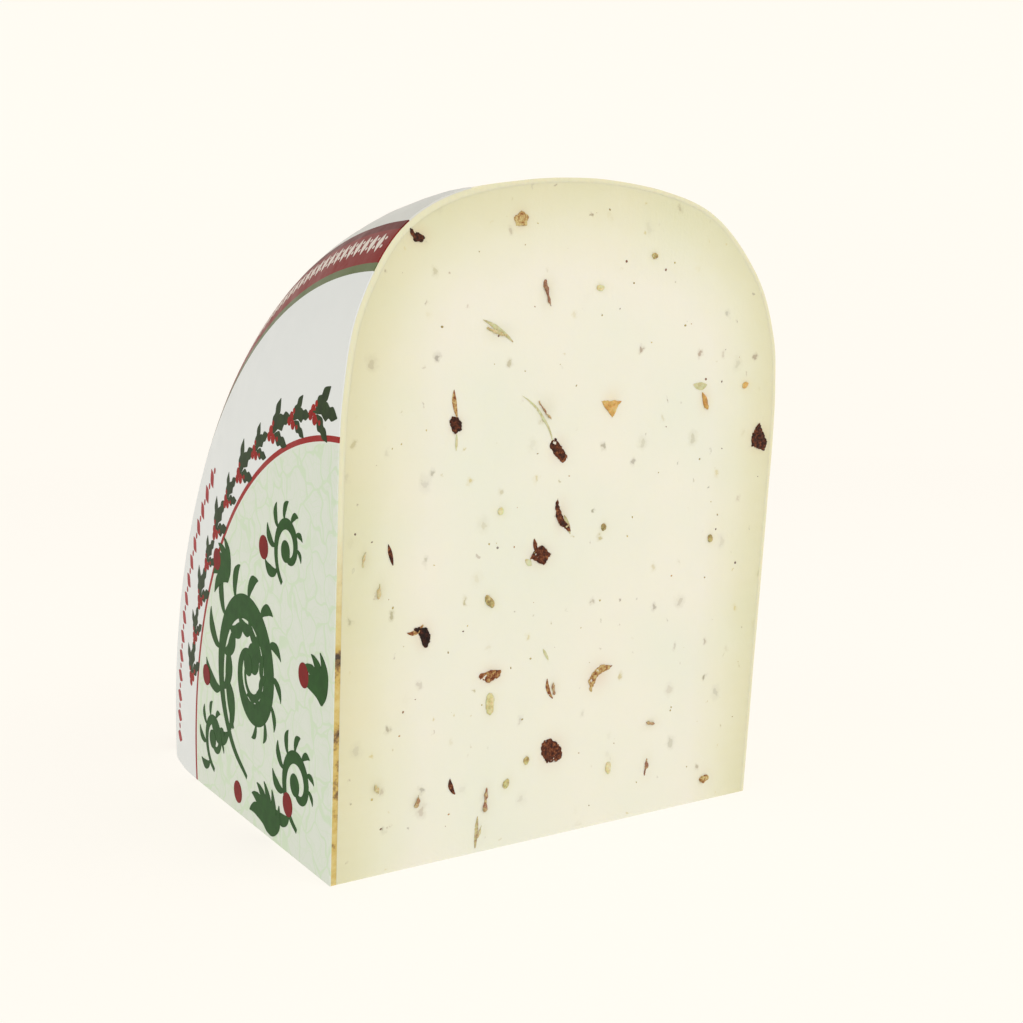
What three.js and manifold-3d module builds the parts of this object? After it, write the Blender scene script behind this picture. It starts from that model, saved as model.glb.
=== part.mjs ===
// A quarter cut out of a small herb cheese wheel, standing on one of its two cut faces.
//
// The wheel's axis runs along X. The cut that the piece stands on is the plane z = 0 behind the
// axis, and the other cut rises from the axis and leans a little forwards, because the quarter is
// cut a few degrees wide. The curved rim is at the back and the top. The printed label is on the
// wheel's face at low X, and the plain face is at high X. Millimetres, +Z up.

import * as THREE from "three";
import { mergeVertices } from "three/addons/utils/BufferGeometryUtils.js";
import Module from "manifold-3d";

const wasm = await Module();
wasm.setup();

// The wheel
const WHEEL_THICKNESS = 100;
const WHEEL_RADIUS = 128;
const WEDGE_ANGLE = THREE.MathUtils.degToRad(96);
const TURN_STEPS = 72;
const STEPS_BETWEEN_POINTS = 3;

// The layers on the paste: a brushed-on coating, and a printed film stuck over it
const COATING_WALL = 0.8;
const LABEL_WALL = 0.2;
const GAP = 0.3;
const LABEL_REACH = 24;

// The pieces in the paste
const PEPPER_PROUD = 0.4;
const OTHER_PROUD = 0.2;
const POCKET_MOUTH = 3;
const CHIP_BEVEL = 0.35;
const BEVEL_SHARE = 0.1;

// Points closer than this are one point, and these turn a chip's place into its ragged outline.
const MERGE_WITHIN = 1e-4;
const SEED_PER_CORNER = 17;
const SEED_PER_ROW = 3;

// Half of the wheel's section, as [place along the axis, distance from the axis]: flat faces, a
// tight shoulder at the label, a crowned rim and a rounder shoulder at the plain face.
const SECTION = [
  [0, 74],
  [0.5, 88],
  [3.2, 103],
  [11.5, 117],
  [27, 124.7],
  [52, WHEEL_RADIUS],
  [76.5, 124.7],
  [91, 113.5],
  [97.6, 101],
  [99.6, 88],
  [WHEEL_THICKNESS, 74],
];

const MATERIALS = {
  cheese_paste: { color: 0xf0ead8, roughness: 0.5, metalness: 0 },
  wheel_coating: { color: 0xece2b4, roughness: 0.35, metalness: 0 },
  printed_label: { color: 0xe0e0da, roughness: 0.45, metalness: 0 },
  pepper_flake: { color: 0x5e2417, roughness: 0.55, metalness: 0 },
  yellow_pepper_flake: { color: 0xbb8b43, roughness: 0.5, metalness: 0 },
  seed: { color: 0xc0ad72, roughness: 0.45, metalness: 0 },
  herb_stalk: { color: 0x746838, roughness: 0.6, metalness: 0 },
};

// What each kind of chip is like: the corners of its outline, how ragged they are, how deep the
// chip goes into the paste, and how far it stands out of the cut.
const KINDS = {
  pepper_flake: { corners: 9, ragged: 0.3, deep: 2.2, proud: PEPPER_PROUD },
  yellow_pepper_flake: { corners: 7, ragged: 0.35, deep: 1.6, proud: OTHER_PROUD },
  seed: { corners: 10, ragged: 0.08, deep: 1.4, proud: OTHER_PROUD },
  herb_stalk: { corners: 8, ragged: 0.15, deep: 1.2, proud: OTHER_PROUD },
};

// Where the larger chips show on each cut:
// [kind, along the wheel's axis, out from the axis, length, width, turn in degrees, bend]
const FRONT_CHIPS = [
  ["pepper_flake", 47, 18, 6.2, 5.2, 60, 0],
  ["pepper_flake", 41.5, 58, 5, 3.6, 10, 0],
  ["pepper_flake", 96.3, 79, 4.8, 4.2, 50, 0],
  ["pepper_flake", 45, 78, 4.8, 3, 115, 0.3],
  ["pepper_flake", 17, 45, 4, 2.5, 100, 0],
  ["pepper_flake", 22.5, 83, 2.4, 2, 30, 0],
  ["pepper_flake", 46.5, 65.5, 6.2, 1.8, 105, 0.7],
  ["pepper_flake", 32, 35.5, 4.4, 2.6, -10, 0.3],
  ["pepper_flake", 57, 32.5, 7, 1.8, 45, -0.9],
  ["pepper_flake", 13.6, 115.2, 3, 1.8, 15, 0.3],
  ["pepper_flake", 34, 119.5, 2.6, 2.2, 70, 0],
  ["pepper_flake", 88, 5, 3, 1.7, 15, 0],
  ["yellow_pepper_flake", 56.5, 87, 4.4, 3.6, -65, 0],
  ["yellow_pepper_flake", 80.5, 87, 4.6, 1.5, 115, 0.2],
  ["yellow_pepper_flake", 91, 90.5, 2.2, 1.4, 10, 0],
  ["seed", 32, 30, 4.8, 2.1, 95, 0],
  ["seed", 52.5, 108.5, 2, 1.3, 5, 0],
  ["seed", 31, 50, 3.2, 1.7, -60, 0],
  ["seed", 36.5, 13, 2.1, 1.4, 70, 0],
  ["seed", 41, 17, 1.8, 1.4, 80, 0],
  ["seed", 61.5, 12, 3.1, 1.6, 95, 0],
  ["seed", 56.5, 62.5, 1.7, 1.4, 90, 0],
  ["seed", 32.5, 67, 1.6, 1.4, 80, 0],
  ["seed", 65, 115, 1.6, 1.2, 0, 0],
  ["seed", 84.5, 58.5, 1.8, 1.4, 90, 0],
  ["herb_stalk", 30, 99.5, 5.4, 1.2, -18, 0.3],
  ["herb_stalk", 40.5, 107, 5.6, 1.2, -72, 0.3],
  ["herb_stalk", 41, 85.5, 5.4, 1, -50, 0.6],
  ["herb_stalk", 32, 10.5, 5.4, 1.3, 88, 0],
  ["herb_stalk", 46.5, 31, 3, 1.3, -80, 0.3],
  ["herb_stalk", 71.5, 10.5, 4.2, 1.4, 85, 0.2],
  ["herb_stalk", 72, 20, 2.9, 1, -15, 0],
  ["herb_stalk", 31, 4, 3.2, 1.2, 70, 0.3],
  ["herb_stalk", 17, 13, 3, 1.5, 80, 0],
  ["herb_stalk", 8, 54, 3, 1.2, 85, 0.2],
  ["herb_stalk", 4.8, 60, 3.4, 1.3, 80, -0.3],
  ["herb_stalk", 8.5, 17, 2.5, 1.2, -70, 0],
];
const BASE_CHIPS = [
  ["pepper_flake", 30, 30, 5.2, 3.8, 25, 0],
  ["pepper_flake", 68, 52, 4.4, 3, 140, 0],
  ["pepper_flake", 22, 76, 3.6, 2.4, 70, 0.2],
  ["pepper_flake", 58, 98, 5, 2.2, -30, 0.5],
  ["pepper_flake", 84, 22, 3.2, 2.6, 0, 0],
  ["seed", 45, 64, 3.4, 1.9, 30, 0],
  ["seed", 76, 84, 2.6, 1.6, 110, 0],
  ["seed", 14, 48, 2.2, 1.5, 60, 0],
  ["herb_stalk", 52, 20, 5.2, 1.3, 40, 0.4],
  ["herb_stalk", 36, 108, 4.6, 1.2, -50, 0.3],
  ["herb_stalk", 88, 62, 4, 1.2, 85, 0],
];

const ALONG_AXIS = new THREE.Vector3(1, 0, 0);
const FRONT_CUT = {
  outward: new THREE.Vector3(0, Math.cos(WEDGE_ANGLE), Math.sin(WEDGE_ANGLE)),
  normal: new THREE.Vector3(0, -Math.sin(WEDGE_ANGLE), Math.cos(WEDGE_ANGLE)),
};
const BASE_CUT = {
  outward: new THREE.Vector3(0, 1, 0),
  normal: new THREE.Vector3(0, 0, -1),
};

// A number from 0 to 1 that looks random and is the same every time.
function scatter(seed) {
  const value = Math.sin(seed * 12.9898) * 43758.5453;
  return value - Math.floor(value);
}

// A closed geometry as a solid that can be cut. Lathe poles leave triangles with no area, and
// those are dropped.
function solidFrom(geometry) {
  const bare = geometry.clone();
  bare.deleteAttribute("normal");
  bare.deleteAttribute("uv");
  const merged = mergeVertices(bare, MERGE_WITHIN);
  const index = merged.index.array;
  const corners = [];
  for (let i = 0; i < index.length; i += 3) {
    const [a, b, c] = [index[i], index[i + 1], index[i + 2]];
    if (a !== b && b !== c && c !== a) {
      corners.push(a, b, c);
    }
  }
  return new wasm.Manifold(new wasm.Mesh({
    numProp: 3,
    vertProperties: new Float32Array(merged.attributes.position.array),
    triVerts: new Uint32Array(corners),
  }));
}

// A cut solid as a geometry again.
function geometryFrom(solid) {
  const mesh = solid.getMesh();
  const geometry = new THREE.BufferGeometry();
  geometry.setAttribute("position", new THREE.BufferAttribute(mesh.vertProperties, 3));
  geometry.setIndex(new THREE.BufferAttribute(mesh.triVerts, 1));
  geometry.computeVertexNormals();
  return geometry;
}

// The wheel's section, moved outwards by `out` square to itself, or inwards where it is negative.
function sectionPoints(out) {
  const curve = new THREE.SplineCurve(SECTION.map(([x, r]) => new THREE.Vector2(x, r)));
  const points = curve.getPoints((SECTION.length - 1) * STEPS_BETWEEN_POINTS);
  const last = points.length - 1;
  return points.map((point, i) => {
    if (i === 0 || i === last) {
      return new THREE.Vector2(point.x + (i === 0 ? -out : out), point.y);
    }
    const along = points[i + 1].clone().sub(points[i - 1]).normalize();
    return new THREE.Vector2(point.x - along.y * out, point.y + along.x * out);
  });
}

// The whole wheel, moved outwards by `out`, turned about the X axis.
function wheelSolid(out) {
  const rim = sectionPoints(out);
  const first = new THREE.Vector2(0, rim[0].x);
  const last = new THREE.Vector2(0, rim[rim.length - 1].x);
  const profile = [first, ...rim.map((point) => new THREE.Vector2(point.y, point.x)), last];
  const geometry = new THREE.LatheGeometry(profile, TURN_STEPS);
  geometry.rotateZ(-Math.PI / 2);
  return solidFrom(geometry);
}

// The room between the two cuts, from one place along the axis to another.
function betweenCuts(from, to) {
  const far = 2 * WHEEL_RADIUS;
  const outline = new THREE.Shape([
    new THREE.Vector2(0, 0),
    new THREE.Vector2(far, 0),
    new THREE.Vector2(far, far),
    new THREE.Vector2(far * Math.cos(WEDGE_ANGLE), far * Math.sin(WEDGE_ANGLE)),
  ]);
  const geometry = new THREE.ExtrudeGeometry(outline, { depth: to - from, bevelEnabled: false });
  const axes = new THREE.Matrix4().makeBasis(
    new THREE.Vector3(0, 1, 0),
    new THREE.Vector3(0, 0, 1),
    ALONG_AXIS,
  );
  geometry.applyMatrix4(axes.setPosition(from, 0, 0));
  return solidFrom(geometry);
}

// The ragged outline of a chip, `spare` larger all round, bent along its length.
function chipOutline(kind, long, wide, bend, seed, spare) {
  const { corners, ragged } = KINDS[kind];
  const points = [];
  for (let k = 0; k < corners; k += 1) {
    const angle = (2 * Math.PI * k) / corners;
    const reach = 1 - ragged * scatter(seed * SEED_PER_CORNER + k);
    const x = ((long / 2) * reach + spare) * Math.cos(angle);
    const y = ((wide / 2) * reach + spare) * Math.sin(angle);
    points.push(new THREE.Vector2(x, y + bend * (x / (long / 2)) ** 2));
  }
  return new THREE.Shape(points);
}

// A chip with bevelled edges, from `deep` in the paste to `proud` of the cut at z = 0.
function chipGeometry(kind, long, wide, bend, seed, proud) {
  const outline = chipOutline(kind, long, wide, bend, seed, 0);
  const bevel = Math.min(CHIP_BEVEL, wide * BEVEL_SHARE);
  const geometry = new THREE.ExtrudeGeometry(outline, {
    depth: KINDS[kind].deep + proud - 2 * bevel,
    bevelThickness: bevel,
    bevelSize: bevel,
    bevelOffset: -bevel,
    bevelSegments: 1,
  });
  geometry.translate(0, 0, bevel - KINDS[kind].deep);
  return geometry;
}

// The hole that a chip sits in, open at the cut.
function pocketGeometry(kind, long, wide, bend, seed) {
  const outline = chipOutline(kind, long, wide, bend, seed, GAP);
  const depth = KINDS[kind].deep + GAP + POCKET_MOUTH;
  const geometry = new THREE.ExtrudeGeometry(outline, { depth, bevelEnabled: false });
  geometry.translate(0, 0, -KINDS[kind].deep - GAP);
  return geometry;
}

// Puts a chip's mesh on a cut face, with its +Z along the cut's outward normal.
function placeOnCut(object, cut, x, out, turn) {
  const side = new THREE.Vector3().crossVectors(cut.outward, cut.normal);
  const axes = new THREE.Matrix4().makeBasis(side, cut.outward, cut.normal);
  object.quaternion.setFromRotationMatrix(axes);
  object.rotateZ(THREE.MathUtils.degToRad(turn));
  object.position.copy(ALONG_AXIS).multiplyScalar(x).addScaledVector(cut.outward, out);
  object.updateMatrix();
}

function namedMesh(name, kind, geometry) {
  const mesh = new THREE.Mesh(geometry, new THREE.MeshStandardMaterial(MATERIALS[kind]));
  mesh.name = name;
  return mesh;
}

// The chips of one cut, as meshes, with the solid of each one's pocket.
function chipsOnCut(rows, cut, counts, stands) {
  return rows.map(([kind, x, out, long, wide, turn, bend]) => {
    counts[kind] = (counts[kind] ?? 0) + 1;
    const name = `${kind}_${String(counts[kind]).padStart(2, "0")}`;
    const seed = x + SEED_PER_ROW * out;
    const proud = stands ? KINDS[kind].proud : 0;
    const mesh = namedMesh(name, kind, chipGeometry(kind, long, wide, bend, seed, proud));
    placeOnCut(mesh, cut, x, out, turn);
    const pocket = pocketGeometry(kind, long, wide, bend, seed).applyMatrix4(mesh.matrix);
    return { mesh, pocket: solidFrom(pocket) };
  });
}

const counts = {};
const chips = [
  ...chipsOnCut(FRONT_CHIPS, FRONT_CUT, counts, true),
  ...chipsOnCut(BASE_CHIPS, BASE_CUT, counts, false),
];

// The paste fills the coating, less the pockets. The coating is a shell that is open at the two
// cuts. The label is a film over the labelled face and its shoulder.
const wedge = betweenCuts(-WHEEL_THICKNESS, 2 * WHEEL_THICKNESS);
let paste = wheelSolid(-COATING_WALL - GAP).intersect(wedge);
for (const { pocket } of chips) {
  paste = paste.subtract(pocket);
}
const coating = wheelSolid(0).subtract(wheelSolid(-COATING_WALL)).intersect(wedge);
const label = wheelSolid(GAP + LABEL_WALL)
  .subtract(wheelSolid(GAP))
  .intersect(betweenCuts(-WHEEL_THICKNESS, LABEL_REACH));

const quarter = new THREE.Group();
quarter.add(namedMesh("cheese_paste", "cheese_paste", geometryFrom(paste)));
quarter.add(namedMesh("wheel_coating", "wheel_coating", geometryFrom(coating)));
quarter.add(namedMesh("printed_label", "printed_label", geometryFrom(label)));
for (const { mesh } of chips) {
  quarter.add(mesh);
}

// The origin is in the middle of the footprint, on the surface that the piece stands on.
const box = new THREE.Box3().setFromObject(quarter);
const middle = box.getCenter(new THREE.Vector3());
quarter.position.set(-middle.x, -middle.y, -box.min.z);

const part = new THREE.Group();
part.add(quarter);

export default part;
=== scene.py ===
import itertools
import math
import random

import bmesh
import bpy
import numpy as np
from mathutils import Matrix, Vector, noise


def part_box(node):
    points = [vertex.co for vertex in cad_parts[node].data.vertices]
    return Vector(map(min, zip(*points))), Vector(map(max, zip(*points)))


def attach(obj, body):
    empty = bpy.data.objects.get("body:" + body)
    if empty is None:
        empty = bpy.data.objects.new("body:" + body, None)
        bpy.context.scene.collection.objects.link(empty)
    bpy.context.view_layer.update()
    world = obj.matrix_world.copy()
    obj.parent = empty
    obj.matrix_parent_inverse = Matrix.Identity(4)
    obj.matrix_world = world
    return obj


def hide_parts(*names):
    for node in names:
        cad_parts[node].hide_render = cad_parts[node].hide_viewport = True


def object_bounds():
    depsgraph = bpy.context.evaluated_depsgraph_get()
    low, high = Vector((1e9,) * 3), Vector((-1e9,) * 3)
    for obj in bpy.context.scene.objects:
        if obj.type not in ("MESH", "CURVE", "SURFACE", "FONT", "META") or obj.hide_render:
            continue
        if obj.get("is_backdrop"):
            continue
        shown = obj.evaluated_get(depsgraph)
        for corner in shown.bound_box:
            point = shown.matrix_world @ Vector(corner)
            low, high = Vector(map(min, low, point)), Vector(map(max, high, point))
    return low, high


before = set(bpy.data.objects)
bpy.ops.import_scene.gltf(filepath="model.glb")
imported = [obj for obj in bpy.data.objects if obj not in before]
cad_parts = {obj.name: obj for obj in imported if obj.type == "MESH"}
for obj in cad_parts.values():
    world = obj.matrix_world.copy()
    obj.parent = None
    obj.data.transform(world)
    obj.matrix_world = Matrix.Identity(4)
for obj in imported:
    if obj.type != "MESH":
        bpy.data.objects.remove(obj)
cad_low, cad_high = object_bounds()

# The set: a pale floor that runs up into a backdrop, two large soft lights and an even sky, with
# the camera low in front of the corner where the label meets the upright cut.
MM = 0.001
# The wheel's labelled face, its axis and the floor in the row frame. The quarter's height is the
# wheel's radius, and the label stands a little proud of the face.
LABEL_STANDS = 0.5
face_x = cad_low.x + LABEL_STANDS * MM
axis_y = cad_high.y - cad_high.z
floor_z = cad_low.z

AIM = (50, 30, 60)
CAMERA_AZIMUTH = math.radians(-30.97)
CAMERA_ELEVATION = math.radians(5.2)
CAMERA_ROLL = math.radians(-0.79)
CAMERA_DISTANCE = 0.26022
CAMERA_LENS = 41.73
CAMERA_SHIFT = (0.03175, 0.01573)
SKY_STRENGTH = 0.48
FLOOR_COLOUR = "FFFBF3"
FLOOR_GLOW = 0.84
FLOOR_DIFFUSE = 0.2
CREASE_ANGLE = math.radians(40)
SAME_POINT = 0.001 * MM


def linear(colour):
    """An sRGB hex colour as linear red, green, blue and alpha."""
    parts = [int(colour[i:i + 2], 16) / 255 for i in (0, 2, 4)]
    return [p / 12.92 if p <= 0.04045 else ((p + 0.055) / 1.055) ** 2.4 for p in parts] + [1.0]


def new_material(name, **values):
    """A material whose shader has these values. Gives its node tree and its shader as well."""
    material = bpy.data.materials.new(name)
    material.use_nodes = True
    shader = material.node_tree.nodes["Principled BSDF"]
    for socket, value in values.items():
        shader.inputs[socket.replace("_", " ")].default_value = value
    return material, material.node_tree, shader


def new_object(name, data):
    """An object in the scene, with its place in its mesh."""
    made = bpy.data.objects.new(name, data)
    bpy.context.scene.collection.objects.link(made)
    return made


def grid_faces(rows, columns, start=0):
    """The quads of a grid of points that are stored row by row."""
    return [
        (start + i * columns + j, start + i * columns + j + 1,
         start + (i + 1) * columns + j + 1, start + (i + 1) * columns + j)
        for i in range(rows - 1) for j in range(columns - 1)
    ]


def new_piece(name, points, faces, material):
    """A smooth piece in the row frame, its doubles merged and its faces turned outwards."""
    mesh = bpy.data.meshes.new(name)
    mesh.from_pydata([tuple(p) for p in points], [], faces)
    shape = bmesh.new()
    shape.from_mesh(mesh)
    bmesh.ops.remove_doubles(shape, verts=shape.verts, dist=SAME_POINT)
    bmesh.ops.recalc_face_normals(shape, faces=shape.faces)
    for face in shape.faces:
        face.smooth = True
    shape.to_mesh(mesh)
    shape.free()
    mesh.set_sharp_from_angle(angle=CREASE_ANGLE)
    mesh.materials.append(material)
    return new_object(name, mesh)


camera = new_object("camera", bpy.data.cameras.new("camera"))
bpy.context.scene.camera = camera
camera.data.lens = CAMERA_LENS
camera.data.shift_x, camera.data.shift_y = CAMERA_SHIFT
back = Vector((
    math.sin(CAMERA_AZIMUTH) * math.cos(CAMERA_ELEVATION),
    -math.cos(CAMERA_AZIMUTH) * math.cos(CAMERA_ELEVATION),
    math.sin(CAMERA_ELEVATION),
))
aim = Vector((face_x, axis_y, floor_z)) + Vector(AIM) * MM
turned = (-back).to_track_quat("-Z", "Y").to_matrix() @ Matrix.Rotation(CAMERA_ROLL, 3, "Z")
camera.matrix_world = Matrix.Translation(aim + back * CAMERA_DISTANCE) @ turned.to_4x4()

sky = bpy.data.worlds.new("sky")
bpy.context.scene.world = sky
sky.use_nodes = True
sky.node_tree.nodes["Background"].inputs["Color"].default_value = linear("FFFFFF")
sky.node_tree.nodes["Background"].inputs["Strength"].default_value = SKY_STRENGTH
bpy.context.scene.view_settings.view_transform = "Standard"

# Matt floor paint. It glows a little, so that it stays as pale in the distance as near the piece.
floor_paint, _, _ = new_material(
    "matt_floor_paint",
    Base_Color=[FLOOR_DIFFUSE * c for c in linear(FLOOR_COLOUR)[:3]] + [1.0],
    Roughness=1.0,
    Specular_IOR_Level=0.0,
    Emission_Color=linear(FLOOR_COLOUR),
    Emission_Strength=FLOOR_GLOW,
)
# The floor is a wide round bowl: a flat disc, a sweep of quarter arcs and an upright wall, in m.
FLOOR_REACH, SWEEP, WALL_TOP = 2.4, 0.8, 3.2
BOWL_SIDES, SWEEP_STEPS = 96, 16
run = [(0.0, 0.0), (FLOOR_REACH / 2, 0.0)] + [
    (FLOOR_REACH + SWEEP * math.sin(a), SWEEP - SWEEP * math.cos(a))
    for a in np.linspace(0, math.pi / 2, SWEEP_STEPS)
] + [(FLOOR_REACH + SWEEP, WALL_TOP)]
backdrop = new_piece(
    "backdrop",
    [(out * math.cos(a), out * math.sin(a), floor_z + up)
     for out, up in run for a in np.linspace(0, 2 * math.pi, BOWL_SIDES + 1)],
    grid_faces(len(run), BOWL_SIDES + 1),
    floor_paint,
)
backdrop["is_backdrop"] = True

# Each soft light's place and size in m, and its power in W.
SOFTBOXES = [
    ("key_softbox", (0.35, -1.0, 0.8), 0.9, 3.4),
    ("side_softbox", (-1.0, -0.1, 0.7), 0.8, 1.0),
]
for name, place, size, watts in SOFTBOXES:
    light = bpy.data.lights.new(name, "AREA")
    light.size = size
    light.energy = watts
    softbox = new_object(name, light)
    softbox.location = place
    softbox.rotation_euler = (aim - Vector(place)).to_track_quat("-Z", "Y").to_euler()

# The cheese paste: pressed curd, ripened for some weeks and cut with a long knife. It is ivory in
# the middle and yellower where it has dried towards the rind, and light sinks a little way in.
WEDGE_ANGLE = math.radians(96)
# The wheel's half section from the labelled face over the rim to the plain face: mm along the axis
# and mm out from it. A smooth curve joins the points, and the faces inside them are flat.
SECTION = [
    (0, 74), (0.5, 88), (3.2, 103), (11.5, 117), (27, 124.7), (52, 128),
    (76.5, 124.7), (91, 113.5), (97.6, 101), (99.6, 88), (100, 74),
]
STEPS, FLAT_STEP = 12, 3.0
# The paste fills the coating, and overlaps it by a hair so that no gap shows between them.
COATING_WALL, OVERLAP = 0.8, 0.02
COLUMNS, ROWS, TURNS = 150, 170, 33
# How far, in mm or in radians, a point may be off the line that it counts as lying on.
SLACK = 0.01
# The knife leaves the cut wavy: the waves' height and length in mm, their share of finer ripples,
# and how many mm from the paste's edges they fade out.
KNIFE_WAVE, KNIFE_WAVE_LENGTH, KNIFE_RIPPLE, KNIFE_FREE = 0.14, 26.0, 0.35, 4


def smooth_through(knots, steps):
    """A smooth curve through rows of numbers. The first and last rows only steer its ends."""
    t = np.linspace(0, 1, steps, endpoint=False)[:, None]
    spans = []
    for a, b, c, d in zip(knots, knots[1:], knots[2:], knots[3:]):
        start, end = (c - a) / 2, (d - b) / 2
        cube, square = 2 * b - 2 * c + start + end, -3 * b + 3 * c - 2 * start - end
        spans.append(cube * t ** 3 + square * t ** 2 + start * t + b)
    return np.vstack([*spans, knots[-2:-1]])


def profile(out):
    """The wheel's half section in mm, moved outwards by out: from the axis over the labelled
    face, the rim and the plain face to the axis again, as rows of x and distance from the axis,
    with the rows' outward directions."""
    rows = smooth_through(np.array([SECTION[0], *SECTION, SECTION[-1]], float), STEPS)
    along = np.gradient(rows, axis=0)
    along[0], along[-1] = (0, 1), (0, -1)
    along /= np.linalg.norm(along, axis=1)[:, None]
    outward = np.stack([-along[:, 1], along[:, 0]], 1)
    flat = np.arange(0, SECTION[0][1], FLAT_STEP)
    first = np.stack([0 * flat + SECTION[0][0], flat], 1)
    last = np.stack([0 * flat + SECTION[-1][0], flat], 1)[::-1]
    rows = np.vstack([first, rows, last])
    outward = np.vstack([0 * first + (-1, 0), outward, 0 * last + (1, 0)])
    return rows + out * outward, outward


def on_wheel(x, r, turn):
    """Points in the row frame, from mm along the axis and out from it, and the turn in radians
    from the cut that the quarter stands on."""
    x, r, turn = np.broadcast_arrays(x, r, turn)
    return np.stack([
        face_x + x * MM,
        axis_y + r * np.cos(turn) * MM,
        floor_z + r * np.sin(turn) * MM,
    ], -1)


def triples(items, field):
    """A field of three numbers for each of a mesh's points or faces, such as its place."""
    values = np.zeros(3 * len(items))
    items.foreach_get(field, values)
    return values.reshape(-1, 3)


def wheel_place(mesh):
    """The reverse of on_wheel, for a mesh's points."""
    x, y, z = ((triples(mesh.vertices, "co") - (face_x, axis_y, floor_z)) / MM).T
    return x, np.hypot(y, z), np.arctan2(z, y)


def kind_of(name):
    """The kind of chip that a numbered node is, such as seed."""
    return name.rsplit("_", 1)[0]


def chip_place(name):
    """The middle of a node's box, as mm along the axis and out from it."""
    low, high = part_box(name)
    middle = (low + high) / 2
    return (middle.x - face_x) / MM, math.hypot(middle.y - axis_y, middle.z - floor_z) / MM


def on_standing(name):
    """Whether a chip lies in the cut that the quarter stands on."""
    low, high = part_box(name)
    return low.z + high.z - 2 * floor_z < abs(low.y + high.y - 2 * axis_y)


def add_attribute(mesh, name, kind, values, domain="POINT"):
    """Stores one value, or one row of three or four, for each point or face."""
    values = np.asarray(values, np.float32)
    field = {"FLOAT_VECTOR": "vector", "FLOAT_COLOR": "color"}.get(kind, "value")
    mesh.attributes.new(name, kind, domain).data.foreach_set(field, values.ravel())


# Both cuts are one grid: columns along the axis, closer together near the faces, and rows that go
# from the axis out to the skin.
skin = profile(OVERLAP - COATING_WALL)[0]
curved = skin[skin[:, 1] >= SECTION[0][1] - FLAT_STEP / 2]
spread = (1 - np.cos(np.linspace(0, np.pi, COLUMNS))) / 2
across = skin[0, 0] + (skin[-1, 0] - skin[0, 0]) * spread
height = np.interp(across, curved[:, 0], curved[:, 1])
share = np.linspace(0, 1, ROWS)
grid_x = np.broadcast_to(across, (ROWS, COLUMNS)).ravel()
grid_r = np.outer(share, height).ravel()
inside = np.minimum.reduce([
    grid_r / KNIFE_FREE, (np.tile(height, ROWS) - grid_r) / KNIFE_FREE,
    (grid_x - across[0]) / KNIFE_FREE, (across[-1] - grid_x) / KNIFE_FREE, 0 * grid_x + 1,
])
knife = np.array([
    noise.noise(Vector((x / KNIFE_WAVE_LENGTH / 2, r / KNIFE_WAVE_LENGTH, 0.0)))
    + KNIFE_RIPPLE * noise.noise(Vector((
        x / KNIFE_WAVE_LENGTH * 2, r / KNIFE_WAVE_LENGTH * 4, 5.0)))
    for x, r in zip(grid_x, grid_r)
]) * inside * KNIFE_WAVE
# The paste sinks a little where it meets the herbs in the upright cut, and their oil and colour
# stain it: how deep, how many mm past a chip's box the sink and the stain reach, and the length in
# mm that no chip's box reaches.
SINK, SINK_RIM, STAIN_REACH = 0.12, 0.7, 0.5
LONGEST_CHIP = 10
STAINS = {
    "pepper_flake": "C98F66", "yellow_pepper_flake": "DDBB78", "seed": "D6D09A",
    "herb_stalk": "C2B98C",
}


def from_chip(name, rim):
    """How far each point of the cut's grid is from a chip's middle, squared. It is 1 at rim mm
    past the chip's box."""
    low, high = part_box(name)
    chip_x, chip_r = chip_place(name)
    away = ((grid_x - chip_x) / ((high - low).x / 2 / MM + rim)) ** 2
    away += ((grid_r - chip_r) / ((high - low).z / 2 / MM + rim)) ** 2
    return away


near_chip = 0 * grid_x
stain = np.zeros((len(grid_x), 4))
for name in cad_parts:
    low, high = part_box(name)
    if max(high - low) < LONGEST_CHIP * MM and not on_standing(name):
        near_chip = np.maximum(near_chip, np.exp(-from_chip(name, SINK_RIM) ** 2))
        strength = np.exp(-from_chip(name, STAIN_REACH))[:, None]
        tone = np.array(linear(STAINS[kind_of(name)])[:3])
        stain[:, 3:] = np.maximum(stain[:, 3:], strength)
        stain[:, :3] = np.where(strength >= stain[:, 3:], tone, stain[:, :3])
cut_outward = np.array([0, -math.sin(WEDGE_ANGLE), math.cos(WEDGE_ANGLE)])
lift = knife * (1 - near_chip) - SINK * near_chip
upright = on_wheel(grid_x, grid_r, WEDGE_ANGLE)
upright += lift[:, None] * cut_outward * MM
standing = on_wheel(grid_x, grid_r, 0.0)
standing[:, 2] += np.abs(knife) * MM / 2
side = np.stack([0 * share, share * height[0]], 1)
outline = np.vstack([
    side + (across[0], 0), np.stack([across, height], 1)[1:-1], (side + (across[-1], 0))[::-1],
])
turns = np.linspace(0, WEDGE_ANGLE, TURNS)[:, None]
rim = on_wheel(outline[:, 0], outline[:, 1], turns).reshape(-1, 3)


def grid_index(x, r):
    """Where the cut's grid holds the point that is nearest to each x and r in mm."""
    column = np.clip(np.searchsorted(across, x), 0, COLUMNS - 1)
    row = np.clip(np.rint(r / height[column] * (ROWS - 1)), 0, ROWS - 1).astype(int)
    return row * COLUMNS + column


def add_node(tree, kind, inputs=None, **settings):
    """Adds a node with its settings. An input takes a value, or another node's output."""
    made = tree.nodes.new(kind)
    for name, value in settings.items():
        setattr(made, name, value)
    for socket, value in (inputs or {}).items():
        if isinstance(value, bpy.types.NodeSocket):
            tree.links.new(value, made.inputs[socket])
        else:
            made.inputs[socket].default_value = value
    return made


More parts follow.
